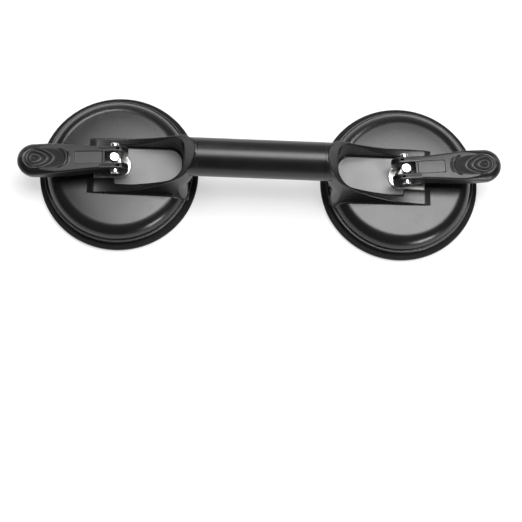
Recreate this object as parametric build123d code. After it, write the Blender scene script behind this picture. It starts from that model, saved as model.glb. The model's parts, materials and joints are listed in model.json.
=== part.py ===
from build123d import *
from math import asin, atan2, cos, degrees, radians, sin, sqrt
import os

# Double cup suction lifter for floor tiles, in millimetres and degrees.
# Two rubber cups sit under cast heads that a round tube joins. A flip lever on each head
# draws the middle of its rubber pad upwards through a cam, and so makes the vacuum.
# X runs along the tube, Z is up and z = 0 is the surface that the pads' lips seal on.
# Each head is drawn once about its own cup axis, with +X towards the tube, then placed.

# Layout
cup_spacing = 221.8
yaw_left = 3.1
yaw_right = 5.7

# Clearances
running_fit = 0.05
press_fit = 0.01
side_gap = 0.15
slot_gap = 0.3
cam_gap = 0.12

# How far a cutting shape runs past the face that it cuts
overrun = 1.0

# Suction pad
pad_radius = 62.5
pad_lip_thickness = 4.5
pad_lip_width = 12.5
pad_edge_rounding = 1.6
pad_middle_radius = 30.0
pad_middle_thickness = 3.6
released_height = 0.3

# Lever travel and the pull that its cam makes
lever_swing = 85.0
cup_lift = 6.5

# Head: dish
dish_radius = 58.1
dish_top = 20.0
dish_wall = 3.5
shoulder_rounding = 11.5
flange_width = 2.1
flange_top = 8.2
flange_width_below = 8.4
hollow_inset = 8.9
hollow_rounding = 3.0
bead_radius = 0.8
rim_rounding = 0.6
rib_count = 8
rib_thickness = 2.4
rib_depth = 2.6
boss_radius = 12.0

# Head: cheeks, collar and pocket
cheek_half_width = 22.0
cheek_end = 23.5
cheek_ramp = 6.0
cheek_end_rise = 1.2
collar_radius = 17.0
collar_end = 61.7
collar_length = 16.0
collar_corner_radius = 13.0
collar_step = 0.6
collar_top_drop = 1.8
neck_end = 63.4
web_half_width = 26.4
web_end = 55.5
web_corner_radius = 7.0
pocket_half_width = 15.6
pocket_start = 1.5
pocket_end = 51.0
pocket_corner_radius = 11.0
pocket_draft = 3.5
pocket_end_wall = 2.6
slot_half_width = 10.4

# Tube handle
tube_radius = 14.6
tube_wall = 2.0
tube_height = 49.8
spigot_length = 22.0
spigot_bore_radius = 8.0
screw_inset = 11.0
screw_radius = 2.5
screw_head_radius = 4.4
screw_head_height = 2.4
screw_head_rounding = 0.8
screw_seat_depth = 1.0
screw_length = 8.0
screw_socket_width = 3.0
screw_socket_depth = 1.4

# Wear plate
plate_thickness = 1.5
plate_end_radius = 11.0
plate_hole_radius = 5.0
plate_rim_rounding = 0.5

# Stud, guide bush, insert plate and spring
stud_radius = 4.0
stud_above_pin = 4.6
stud_top_rounding = 1.0
stud_head_radius = 8.0
stud_head_height = 1.5
pin_height = 38.2
bush_wall = 2.0
bush_flange_radius = 8.8
bush_flange_thickness = 1.0
insert_radius = 28.0
insert_thickness = 2.0
insert_rim_rounding = 0.8
spring_wire = 1.2
spring_turns = 2.25
spring_top_radius = 6.0
spring_bottom_radius = 7.9

# Lever, measured outwards from its pin
pin_radius = 2.5
pin_head_radius = 3.4
pin_head_height = 3.4
pin_head_rounding = 1.2
pin_cap_height = 2.9
pin_cap_wall = 0.6
pin_end_gap = 0.1
fork_half_width = 9.0
fork_gap_half_width = 4.5
fork_gap_length = 7.3
fork_above_pin = 5.0
foot_half_width = 8.0
foot_height = 7.0
sole_length = 9.0
lever_length = 74.0
shank_length = 32.0
shank_half_width = 10.6
thumb_radius = 12.6
thumb_drop = 1.2
shank_dip = 0.5
nose_rounding = 5.8
nose_lean = 0.5
nose_bulge = 0.8
shank_depth = 12.0
thumb_depth = 6.5
lever_wall = 2.6
lever_edge_rounding = 1.6
grip_middle = 51.6
grip_length = 36.0
grip_width = 17.2
grip_depth = 1.3
panel_middle = 19.5
panel_length = 21.0
panel_width = 9.6
panel_corner_radius = 1.0
panel_depth = 0.7

# Worked out from the values above
flank_radius = dish_radius - flange_width
hollow_radius = flank_radius - hollow_inset
pad_middle_height = released_height + cup_lift
pad_middle_top = pad_middle_height + pad_middle_thickness
plate_top = dish_top + plate_thickness
cam_radius = pin_height - plate_top - cam_gap
cam_rate = cup_lift / radians(lever_swing)
roof = dish_top - dish_wall
bush_radius = stud_radius + running_fit + bush_wall
crest_start_height = dish_top + cheek_end_rise
collar_top = tube_height + collar_radius - collar_top_drop


def rounded_revolve(points, radii):
    """Solid turned about the cup axis from corner points, each corner rounded to its own radius."""
    return revolve(make_face(Plane.XZ * FilletPolyline(*points, radius=radii, close=True)), axis=Axis.Z)


def dish():
    """Round cover, still solid inside: flat top, large round shoulder, and a narrow beaded flange."""
    corners = [
        (0, dish_top),
        (flank_radius, dish_top),
        (flank_radius, flange_top),
        (dish_radius, flange_top),
        (dish_radius, pad_lip_thickness),
        (0, pad_lip_thickness),
    ]
    radii = [0, shoulder_rounding, 0, rim_rounding, rim_rounding, 0]
    bead = Plane.XZ * Pos(dish_radius - bead_radius, flange_top) * Circle(bead_radius)
    return rounded_revolve(corners, radii) + revolve(bead, axis=Axis.Z)


def dish_hollow():
    """Space under the dish's roof, one wall inside its outline."""
    corners = [
        (0, roof),
        (hollow_radius, roof),
        (dish_radius - flange_width_below, pad_lip_thickness - overrun),
        (0, pad_lip_thickness - overrun),
    ]
    return rounded_revolve(corners, [0, hollow_rounding, 0, 0])


def dish_ribs():
    """Radial ribs and the ring round the guide bush, all under the roof."""
    start = boss_radius - overrun
    end = hollow_radius + overrun
    height = rib_depth + overrun
    rib = Box(end - start, rib_thickness, height, align=(Align.MIN, Align.CENTER, Align.MIN))
    ring = Cylinder(boss_radius, height) - Cylinder(bush_flange_radius + slot_gap, height)
    ribs = Pos(0, 0, roof - rib_depth + height / 2) * ring
    for turn in range(rib_count):
        ribs += Rot(0, 0, (turn + 0.5) * 360 / rib_count) * Pos(start, 0, roof - rib_depth) * rib
    return ribs


def crest_height(reach):
    """Height of the cheeks' crest, an arc tangent to the flat land and ending on the collar."""
    run = collar_end + cheek_end - cheek_ramp
    rise = collar_top - crest_start_height
    radius = (run * run + rise * rise) / (2 * rise)
    along = reach + cheek_end - cheek_ramp
    return crest_start_height + radius - sqrt(radius * radius - along * along)


def cheek_section():
    """Cross-section of the cheeks and collar: a circle with two flanks tangent to it."""
    run = sqrt(cheek_half_width**2 + (tube_height - dish_top) ** 2)
    lean = atan2(tube_height - dish_top, -cheek_half_width) - asin(collar_radius / run)
    flank = sqrt(run * run - collar_radius * collar_radius)
    touch_y = cheek_half_width + flank * cos(lean)
    touch_z = dish_top + flank * sin(lean)
    depth = dish_top - flange_top + overrun
    foot_y = cheek_half_width - depth * cos(lean) / sin(lean)
    foot_z = dish_top - depth
    sides = Polyline((-touch_y, touch_z), (-foot_y, foot_z), (foot_y, foot_z), (touch_y, touch_z))
    crown = ThreePointArc((-touch_y, touch_z), (0, tube_height + collar_radius), (touch_y, touch_z))
    return make_face(Plane.YZ * (sides + crown))


def cheeks():
    """Raised body on the dish that grows in an arc from a flat land up to the tube's collar."""
    start = -cheek_end
    land_start = start + cheek_ramp
    foot_z = flange_top - overrun
    middle = (land_start + collar_end) / 2
    crest = ThreePointArc(
        (land_start, crest_start_height),
        (middle, crest_height(middle)),
        (collar_end, collar_top),
    )
    below = Polyline(
        (collar_end, collar_top),
        (collar_end, foot_z),
        (start, foot_z),
        (start, dish_top),
        (land_start, crest_start_height),
    )
    side = extrude(make_face(Plane.XZ * (crest + below)), amount=2 * cheek_half_width, both=True)
    across = extrude(cheek_section(), amount=2 * collar_end, both=True)
    plan = Pos((web_end + start) / 2, 0) * Rectangle(web_end - start, 2 * web_half_width)
    plan = fillet(plan.vertices().sort_by(Axis.X)[-2:], web_corner_radius)
    body = across & extrude(plan, amount=2 * collar_top)
    collar = Pos(collar_end - collar_length / 2, 0, tube_height) * Rot(0, 90, 0) * (
        Cylinder(collar_radius - collar_step, collar_length)
    )
    nose = Pos(collar_end - collar_length, 0) * Rectangle(2 * collar_length, 2 * collar_radius)
    nose = fillet(nose.vertices().sort_by(Axis.X)[-2:], collar_corner_radius)
    body += collar & extrude(nose, amount=2 * collar_top)
    root_length = collar_end - pocket_end
    root = Cylinder(tube_radius, root_length)
    body += Pos(collar_end - root_length / 2, 0, tube_height) * Rot(0, 90, 0) * root
    return body & side


def pocket_bowl():
    """Spoon-shaped hollow between the cheeks, opening upwards, its inner end kept off the tube."""
    length = pocket_end + pocket_start
    depth = collar_top - dish_top + 2 * overrun
    floor = Pos(pocket_end - length / 2, 0) * Rectangle(length, 2 * pocket_half_width)
    floor = fillet(floor.vertices().sort_by(Axis.X)[-2:], pocket_corner_radius)
    bowl = Pos(0, 0, dish_top) * extrude(floor, amount=depth, taper=-pocket_draft)
    behind = Pos(collar_end - pocket_end_wall, 0, dish_top) * Box(
        pocket_end,
        3 * pocket_half_width,
        3 * depth,
        align=(Align.MIN, Align.CENTER, Align.CENTER),
    )
    return bowl - behind


def pocket_slot():
    """Slot that carries the pocket on to the cheeks' outer end, over the wear plate."""
    length = cheek_end + 3 * pocket_start
    depth = collar_top - dish_top
    middle = 2 * pocket_start - length / 2
    return Pos(middle, 0, dish_top + depth / 2) * Box(length, 2 * slot_half_width, depth)


def housing():
    """Cast head: dish, cheeks and collar, neck and spigot for the tube, and the bores."""
    body = dish() + cheeks() - dish_hollow()
    body += dish_ribs()
    body -= pocket_bowl()
    body -= pocket_slot()
    along = Pos(neck_end, 0, tube_height) * Rot(0, 90, 0)
    neck_start = collar_end - overrun / 2
    neck_length = neck_end - neck_start
    body += along * Pos(0, 0, -neck_length / 2) * Cylinder(tube_radius, neck_length)
    spigot_radius = tube_radius - tube_wall - running_fit
    body += along * Pos(0, 0, spigot_length / 2) * Cylinder(spigot_radius, spigot_length)
    body -= along * Pos(0, 0, spigot_length / 2 + overrun) * Cylinder(spigot_bore_radius, spigot_length)
    body -= Pos(0, 0, dish_top) * Cylinder(bush_radius, 4 * dish_wall)
    screw_hole = Pos(neck_end + screw_inset, 0, tube_height - spigot_radius)
    body -= screw_hole * Cylinder(screw_radius, 2 * (spigot_radius - spigot_bore_radius + overrun))
    return body


def suction_pad():
    """Rubber disc, drawn up in the middle, with a flat sealing lip and a seat for the stud's head."""
    lip_start = pad_radius - pad_lip_width
    rise_start = dish_radius - flange_width_below - slot_gap
    below = Spline(
        (lip_start, 0),
        (pad_middle_radius, pad_middle_height),
        tangents=[(-1, 0), (-1, 0)],
    )
    above = Spline(
        (rise_start, pad_lip_thickness),
        (pad_middle_radius, pad_middle_top),
        tangents=[(-1, 0), (-1, 0)],
    )
    seat_height = pad_middle_top - stud_head_height - slot_gap
    seat_radius = stud_head_radius + slot_gap
    edge = FilletPolyline(
        (lip_start, 0),
        (pad_radius, 0),
        (pad_radius, pad_lip_thickness),
        (rise_start, pad_lip_thickness),
        radius=pad_edge_rounding,
    )
    middle = Polyline(
        (pad_middle_radius, pad_middle_height),
        (0, pad_middle_height),
        (0, seat_height),
        (seat_radius, seat_height),
        (seat_radius, pad_middle_top),
        (pad_middle_radius, pad_middle_top),
    )
    section = make_face(Plane.XZ * (below + edge + above + middle))
    return revolve(section, axis=Axis.Z)


def insert_plate():
    """Steel disc bonded on the pad's middle; the stud turns in its bore and pulls it up."""
    disc = Cylinder(insert_radius, insert_thickness)
    disc = fillet(disc.edges().group_by(Axis.Z)[-1], insert_rim_rounding)
    disc -= Cylinder(stud_radius + running_fit, 2 * insert_thickness)
    return Pos(0, 0, pad_middle_top + insert_thickness / 2) * disc


def draw_stud():
    """Round stud with a flat head under the insert plate, a rounded top and a cross bore."""
    top = pin_height + stud_above_pin
    length = top - pad_middle_top
    shank = Pos(0, 0, pad_middle_top + length / 2) * Cylinder(stud_radius, length)
    shank = fillet(shank.edges().group_by(Axis.Z)[-1], stud_top_rounding)
    head = Pos(0, 0, pad_middle_top - stud_head_height / 2) * Cylinder(stud_head_radius, stud_head_height)
    cross_bore = Pos(0, 0, pin_height) * Rot(90, 0, 0) * Cylinder(pin_radius + press_fit, 4 * stud_radius)
    return shank + head - cross_bore


def stud_bush():
    """Flanged bush in the head's bore that guides the stud; the spring bears on its flange."""
    barrel = Cylinder(bush_radius - press_fit, dish_wall, align=(Align.CENTER, Align.CENTER, Align.MAX))
    flange = Pos(0, 0, -dish_wall) * Cylinder(
        bush_flange_radius, bush_flange_thickness, align=(Align.CENTER, Align.CENTER, Align.MAX)
    )
    bore = Cylinder(stud_radius + running_fit, 4 * dish_wall)
    return Pos(0, 0, dish_top) * (barrel + flange - bore)


def return_spring():
    """Conical spring between the bush's flange and the insert plate, almost flat when drawn."""
    bottom = pad_middle_top + insert_thickness + side_gap
    top = roof - bush_flange_thickness - side_gap
    rise = top - bottom - spring_wire
    cone = degrees(atan2(spring_top_radius - spring_bottom_radius, rise))
    coil = Helix(
        pitch=rise / spring_turns,
        height=rise,
        radius=spring_bottom_radius,
        cone_angle=cone,
    )
    wire = Plane(origin=coil @ 0, z_dir=coil % 0) * Circle(spring_wire / 2)
    return Pos(0, 0, bottom + spring_wire / 2) * sweep(wire, path=coil, is_frenet=True)


def wear_plate():
    """Hardened bright plate that the cams press on, with a round inner end and a bore for the stud."""
    half_width = slot_half_width - slot_gap
    length = cheek_end - cheek_ramp
    strip = Pos(-length / 2, 0) * Rectangle(length, 2 * half_width)
    face = strip + (Circle(plate_end_radius) & Rectangle(4 * plate_end_radius, 2 * half_width))
    plate = extrude(face - Circle(plate_hole_radius), amount=plate_thickness)
    rim = plate.edges().group_by(Axis.Z)[-1]
    plate = chamfer(rim, plate_rim_rounding)
    return Pos(0, 0, dish_top) * plate


def cam_point(angle):
    """Point of the cam where it bears at this lever angle: an involute, so the lift stays even."""
    turn = radians(angle)
    reach = cam_radius - cam_rate * turn
    return (
        reach * sin(turn) - cam_rate * cos(turn),
        pin_height - reach * cos(turn) - cam_rate * sin(turn),
    )


def lever_top(start, drop=0.0):
    """Top line of the lever from a start point outwards to its tip, or a line that far below it."""
    top = pin_height + fork_above_pin - drop
    return Spline(
        (start, top),
        (-shank_length, top - shank_dip),
        (-lever_length + drop, top - thumb_drop),
        tangents=[(-1, 0), (-1, -0.1)],
    )


def lever_side():
    """Side view of the lever: nose over the fork, cam, flat sole, shank and thumb end."""
    top = pin_height + fork_above_pin
    nose_x, nose_z = cam_point(90)
    crown_x = nose_x - nose_rounding
    top_line = lever_top(crown_x)
    nose = ThreePointArc(
        (nose_x, nose_z),
        (nose_x - nose_lean, (nose_z + top) / 2 + nose_bulge),
        (crown_x, top),
    )
    cam = Spline(*[cam_point(step * 15) for step in range(7)])
    sole = cam_point(0)
    under_shank = top - shank_depth
    back = Polyline(
        top_line @ 1,
        (-lever_length, top - thumb_drop - thumb_depth),
        (-shank_length, under_shank),
        (-sole_length - foot_height, under_shank),
        (-sole_length, sole[1]),
        sole,
    )
    return make_face(Plane.XZ * (top_line + nose + cam + back))


def lever_hollow():
    """Space under the shank and thumb end, one wall inside the lever's outline."""
    start = -fork_gap_length - 2 * lever_wall
    roof_line = lever_top(start, lever_wall)
    below = Polyline(roof_line @ 1, (-lever_length + lever_wall, 0), (start, 0), (roof_line @ 0))
    side = extrude(make_face(Plane.XZ * (roof_line + below)), amount=2 * thumb_radius, both=True)
    return side & extrude(lever_plan(lever_wall), amount=2 * pin_height)


def lever_plan(inset=0.0):
    """Plan view of the lever: a shank that widens in a curve to a round thumb end."""
    nose = cam_point(90)[0] + overrun
    thumb_x = -lever_length + thumb_radius
    edge_out = Spline(
        (nose, fork_half_width - inset),
        (0, fork_half_width - inset),
        (-shank_length, shank_half_width - inset),
        (thumb_x, thumb_radius - inset),
        tangents=[(-1, 0), (-1, 0)],
    )
    end = ThreePointArc(
        (thumb_x, thumb_radius - inset),
        (-lever_length + inset, 0),
        (thumb_x, -thumb_radius + inset),
    )
    edge_back = mirror(edge_out, about=Plane.XZ)
    front = Line((nose, fork_half_width - inset), (nose, -fork_half_width + inset))
    return make_face(edge_out + end + edge_back + front)


def grip_dish():
    """Long shallow bowl under the thumb: part of a large ball, drawn narrow across the lever."""
    half_length = grip_length / 2
    radius = (half_length * half_length + grip_depth * grip_depth) / (2 * grip_depth)
    ball = scale(Sphere(radius), by=(1, grip_width / grip_length, 1))
    top = pin_height + fork_above_pin - thumb_drop / 2
    return Pos(-grip_middle, 0, top - grip_depth + radius) * ball


def lever():
    """Flip lever: thumb end and hollow shank, and a fork whose two feet carry the cams."""
    body = extrude(lever_side(), amount=2 * thumb_radius, both=True)
    body &= extrude(lever_plan(), amount=2 * pin_height)
    top_edges = body.edges().filter_by(lambda edge: edge.center().Z > pin_height)
    side_edges = top_edges.filter_by(lambda edge: abs(edge.center().Y) > fork_half_width / 2)
    long_edges = side_edges.filter_by(lambda edge: edge.length > shank_length)
    body = fillet(long_edges, lever_edge_rounding)
    body -= lever_hollow()
    body -= grip_dish()
    panel = Rectangle(panel_length, panel_width)
    panel = fillet(panel.vertices(), panel_corner_radius)
    panel_z = pin_height + fork_above_pin - panel_depth
    body -= Pos(-panel_middle, 0, panel_z) * extrude(panel, amount=2 * panel_depth)
    gap_end = cam_point(90)[0] + 4 * overrun
    gap_start = -fork_gap_length
    body -= Pos((gap_end + gap_start) / 2, 0, pin_height) * Box(
        gap_end - gap_start, 2 * fork_gap_half_width, 2 * pin_height
    )
    trim_width = thumb_radius
    for side in (-1, 1):
        body -= Pos(0, side * (foot_half_width + trim_width / 2), plate_top) * Box(
            4 * sole_length, trim_width, 2 * foot_height
        )
    body -= Pos(0, 0, pin_height) * Rot(90, 0, 0) * Cylinder(pin_radius + running_fit, 4 * thumb_radius)
    return body


def lever_pin():
    """Cross pin with a domed head, pressed in the stud; the lever's fork turns on it."""
    seat = fork_half_width + side_gap
    end = seat + pin_cap_height - pin_cap_wall - pin_end_gap
    shank = Pos(0, 0, (seat - end) / 2) * Cylinder(pin_radius, seat + end)
    head = Pos(0, 0, seat + pin_head_height / 2) * Cylinder(pin_head_radius, pin_head_height)
    head = fillet(head.edges().group_by(Axis.Z)[-1], pin_head_rounding)
    return Pos(0, 0, pin_height) * Rot(90, 0, 0) * (shank + head)


def pin_cap():
    """Push-on cap that closes the pin's other end."""
    seat = fork_half_width + side_gap
    cap = Pos(0, 0, -seat - pin_cap_height / 2) * Cylinder(pin_head_radius, pin_cap_height)
    cap = fillet(cap.edges().group_by(Axis.Z)[0], pin_head_rounding)
    depth = pin_cap_height - pin_cap_wall
    cap -= Pos(0, 0, -seat) * Cylinder(pin_radius + press_fit, 2 * depth)
    return Pos(0, 0, pin_height) * Rot(90, 0, 0) * cap


def tube_screw():
    """Socket screw that holds the tube on the spigot from below."""
    seat = tube_height - tube_radius + screw_seat_depth
    shank = Cylinder(screw_radius - running_fit, screw_length, align=(Align.CENTER, Align.CENTER, Align.MIN))
    head = Cylinder(screw_head_radius, screw_head_height, align=(Align.CENTER, Align.CENTER, Align.MAX))
    head = fillet(head.edges().group_by(Axis.Z)[0], screw_head_rounding)
    socket = Pos(0, 0, -screw_head_height) * extrude(
        RegularPolygon(screw_socket_width / 2, 6, major_radius=False), amount=screw_socket_depth
    )
    return Pos(neck_end + screw_inset, 0, seat) * (shank + head - socket)


def handle_tube():
    """Round tube between the two collars, with a screw hole and a flat screw seat near each end."""
    length = cup_spacing - 2 * neck_end
    tube = Cylinder(tube_radius, length) - Cylinder(tube_radius - tube_wall, 2 * length)
    tube = Pos(0, 0, tube_height) * Rot(0, 90, 0) * tube
    for side in (-1, 1):
        x = side * (length / 2 - screw_inset)
        bottom = tube_height - tube_radius
        tube -= Pos(x, 0, bottom) * Cylinder(screw_radius, 2 * tube_radius)
        tube -= Pos(x, 0, bottom) * Cylinder(screw_head_radius + slot_gap, 2 * screw_seat_depth)
    return tube


def place(shape, side):
    """Moves a head's piece from its cup axis to the left or the right cup."""
    turn = 0 if side == "left" else 180
    shift = -cup_spacing / 2 if side == "left" else cup_spacing / 2
    return Pos(shift, 0, 0) * Rot(0, 0, turn) * shape


os.makedirs("parts", exist_ok=True)

fixed_pieces = {
    "housing": housing(),
    "suction_pad": suction_pad(),
    "insert_plate": insert_plate(),
    "stud_bush": stud_bush(),
    "return_spring": return_spring(),
    "wear_plate": wear_plate(),
    "tube_screw": tube_screw(),
}
turned_pieces = {
    "draw_stud": draw_stud(),
    "lever": lever(),
    "lever_pin": lever_pin(),
    "pin_cap": pin_cap(),
}

export_step(handle_tube(), "parts/handle_tube.step")
for side, yaw in (("left", yaw_left), ("right", yaw_right)):
    for name, shape in fixed_pieces.items():
        export_step(place(shape, side), f"parts/{name}_{side}.step")
    for name, shape in turned_pieces.items():
        export_step(place(Rot(0, 0, yaw) * shape, side), f"parts/{name}_{side}.step")
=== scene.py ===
import json
import math

import bmesh
import bpy
import numpy as np
from bpy.props import FloatProperty, FloatVectorProperty, IntProperty, PointerProperty
from mathutils import Matrix, Vector

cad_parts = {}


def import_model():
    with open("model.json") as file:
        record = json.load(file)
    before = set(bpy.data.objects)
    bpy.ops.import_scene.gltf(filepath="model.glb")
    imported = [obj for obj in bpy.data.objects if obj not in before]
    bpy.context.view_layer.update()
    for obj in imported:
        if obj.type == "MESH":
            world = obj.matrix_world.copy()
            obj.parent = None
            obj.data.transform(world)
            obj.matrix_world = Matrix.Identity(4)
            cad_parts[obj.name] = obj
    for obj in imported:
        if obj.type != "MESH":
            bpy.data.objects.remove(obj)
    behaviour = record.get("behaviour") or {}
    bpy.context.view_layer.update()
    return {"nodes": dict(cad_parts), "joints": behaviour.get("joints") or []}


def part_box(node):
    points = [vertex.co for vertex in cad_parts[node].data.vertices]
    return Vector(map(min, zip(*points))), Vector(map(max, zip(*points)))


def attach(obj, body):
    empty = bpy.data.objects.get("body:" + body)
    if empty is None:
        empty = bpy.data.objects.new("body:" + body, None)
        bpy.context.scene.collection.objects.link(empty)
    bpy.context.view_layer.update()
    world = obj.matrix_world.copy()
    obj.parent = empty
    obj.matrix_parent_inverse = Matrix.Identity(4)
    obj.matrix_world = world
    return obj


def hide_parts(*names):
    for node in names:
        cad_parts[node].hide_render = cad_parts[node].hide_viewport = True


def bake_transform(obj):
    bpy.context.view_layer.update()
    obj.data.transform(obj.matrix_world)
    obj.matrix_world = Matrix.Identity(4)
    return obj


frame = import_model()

# Looks of a double cup suction lifter for floor tiles. The frame holds every piece at its size.
# Cast heads, rubber pads and flip levers are modelled here again with their cast and moulded
# roundings. The turned and drawn metal pieces keep the frame's own meshes and get their finish.
# Each head's pieces are worked out in millimetres about the cup's axis, with +X towards the
# tube, and are put in place in metres.

bl_info = {
    "name": "Tile Suction Lifter",
    "version": (1, 0, 0),
    "blender": (4, 5, 0),
    "location": "3D View > Sidebar > Lifter",
    "description": "Builds the finished surfaces of a double cup suction lifter",
    "category": "Add Mesh",
}

MM = 0.001
MERGE_MM = 0.002
SLIVER_MM = 0.001
SIDES = ("left", "right")


def millimetres(node):
    """Lowest and highest corner of a node of the frame, in millimetres."""
    low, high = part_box(node)
    return np.array(low) / MM, np.array(high) / MM


def lever_joint(side):
    """The hinge of one lever, as the frame's record gives it."""
    return next(j for j in frame["joints"] if j["name"] == f"lever_flip_{side}")


# Places and sizes that the frame gives
PAD_LOW, PAD_HIGH = millimetres("suction_pad_right")
CUP_X = (PAD_LOW[0] + PAD_HIGH[0]) / 2
PAD_RADIUS = (PAD_HIGH[0] - PAD_LOW[0]) / 2
PLATE_LOW, PLATE_HIGH = millimetres("wear_plate_left")
DISH_TOP = PLATE_LOW[2]
PLATE_TOP = PLATE_HIGH[2]
TUBE_LOW, TUBE_HIGH = millimetres("handle_tube")
TUBE_RADIUS = (TUBE_HIGH[1] - TUBE_LOW[1]) / 2
TUBE_HEIGHT = TUBE_HIGH[2] - TUBE_RADIUS
NECK_END = CUP_X - TUBE_HIGH[0]
PIN_HEIGHT = lever_joint("left")["pos_m"][2] / MM
CUP_LIFT = -next(j for j in frame["joints"] if j["name"] == "cup_lift_left")["range_m"][0] / MM

# Dish of the head
DISH_RADIUS = 58.1
SHOULDER_ROUNDING = 11.5
FLANGE_WIDTH = 2.1
FLANGE_TOP = 8.2
FLANGE_WIDTH_BELOW = 8.4
FLANK_RADIUS = DISH_RADIUS - FLANGE_WIDTH
HOLLOW_RADIUS = FLANK_RADIUS - 8.9
BEAD_RADIUS = 0.8
RIM_ROUNDING = 0.6
DISH_WALL = 3.5
BUSH_RADIUS = 6.05
BUSH_FLANGE_RADIUS = 9.1
BOSS_RADIUS = 12.0
RIB_COUNT = 8
RIB_DEPTH = 2.6
RIB_HALF_WIDTH = 1.2
RIB_OVERLAP = 0.5
PLATE_CLEARANCE = 0.03

# Cheeks, collar and pocket of the head
CHEEK_HALF_WIDTH = 22.0
CHEEK_END = 23.5
CHEEK_RAMP = 6.0
CHEEK_END_RISE = 1.2
CHEEK_END_SINK = 0.4
CHEEK_BURIED = 1.2
EDGE_SHARE_OF_WALL = 0.42
EDGE_SHARE_OF_HEIGHT = 0.45
COLLAR_RADIUS = 17.0
COLLAR_END = 61.7
COLLAR_DROP = 1.8
COLLAR_CORNER = 13.0
WEB_END = 55.5
WEB_CORNER = 7.0
WEB_TOP = 30.0
COLLAR_FOOT = 42.0
POCKET_HALF_WIDTH = 15.6
POCKET_START = 1.5
POCKET_END = 51.0
POCKET_CORNER = 11.0
POCKET_DRAFT = math.tan(math.radians(3.5))
SLOT_HALF_WIDTH = 10.4
STEP_EASE = 0.9
STEP_FINE = 1.2
FAN_X = POCKET_END - POCKET_CORNER
SPIGOT_RADIUS = 12.55
SPIGOT_BORE = 8.0
SPIGOT_LENGTH = 22.0
NECK_START = POCKET_END + 3.5
NECK_CLEARANCE = 0.05
NECK_BELOW_CREST = 0.35

# Pad
LIP_THICKNESS = 4.5
LIP_ROUNDING = 1.6
LIP_EASE = 0.4
LIP_GROOVE = 0.3
LIP_RINGS = (DISH_RADIUS, DISH_RADIUS + 0.3, PAD_RADIUS - 1.1, PAD_RADIUS - 0.5)
LIP_WAIST = 0.25
LIP_INSIDE = DISH_RADIUS - FLANGE_WIDTH_BELOW - 0.3
PAD_MIDDLE_RADIUS = 30.0
PAD_MIDDLE_HEIGHT = 6.8
PAD_MIDDLE_TOP = 10.4
STUD_HEAD_RADIUS = 8.3
SKIN = 1.2

# Lever, measured outwards from its pin
LEVER_LENGTH = 74.0
SHANK_LENGTH = 32.0
THUMB_RADIUS = 12.6
THUMB_DROP = 1.2
SHANK_DIP = 0.5
SHANK_DEPTH = 12.0
THUMB_DEPTH = 6.5
SWELL_START = -6.0
SOFT_RIM = (-42.0, -62.0)
LEVER_WALL = 2.6
LEVER_ROOF = 2.9
ROOF_SAG = 0.6
LEVER_CROWN = 0.25
LEVER_EDGE = 1.6
THUMB_EDGE_MORE = 3.2
THUMB_FALL_MORE = 2.6
FORK_HALF_WIDTH = 9.0
FORK_GAP = 4.5
FORK_GAP_LENGTH = 7.3
ARM_OVERLAP = 4.0
FORK_ABOVE_PIN = 5.0
FOOT_HALF_WIDTH = 8.0
FOOT_HEIGHT = 7.0
SOLE_LENGTH = 9.0
CAM_GAP = 0.12
NOSE_ROUNDING = 5.8
FOOT_ROUNDING = 0.35
ARM_ROUNDING = 0.8
ARM_INSET = 0.4
ARM_CAM_ANGLE = 0.9
GRIP_MIDDLE = -51.6
GRIP_LENGTH = 36.0
GRIP_WIDTH = 17.2
GRIP_DEPTH = 1.3
GRIP_BOWL = (0.25, 1.0)
RIDGE_END = (1.0, 1.12)
RING_X = -61.0
RING_STRETCH = 0.58
RING_TAPER = 0.025
LAST_RING = (3.3, 3.6)
ARC_X = -44.5
ARC_RADIUS = 8.0
ARC_START = (ARC_X + 1.0, ARC_X + 4.0)
ARC_PITCH_SHARE = 0.75
FIRST_ARC = (-0.55, -0.4)
LAST_ARC = (1.4, 1.55)
PANEL_MIDDLE = -19.5
PANEL_LENGTH = 21.0
PANEL_WIDTH = 9.6
PANEL_DEPTH = 0.7
PANEL_CORNER = 1.0
PANEL_EASE = 0.25
# Thumb dish's mark: its rim and how far it falls on the ridges. It darkens the colour as painted
# shade and makes the paint matt
MATT_AND_SHADED_RIM = (0.82, 0.98)
RUBBED_AND_UNSHADED_RIDGE = (0.3, 0.8)
RUBBED_AND_UNSHADED_SHARE = 0.9
MARK_DEPTH = 2.4
LEVER_SWING = math.radians(lever_joint("left")["range_deg"][1])
CAM_RADIUS = PIN_HEIGHT - PLATE_TOP - CAM_GAP
CAM_RATE = CUP_LIFT / LEVER_SWING


def linear(code):
    """Linear colour with alpha from an sRGB hex code, by the sRGB curve."""
    parts = [int(code[i:i + 2], 16) / 255 for i in (1, 3, 5)]
    curve = [v / 12.92 if v <= 0.04045 else ((v + 0.055) / 1.055) ** 2.4 for v in parts]
    return (*curve, 1.0)


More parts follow.
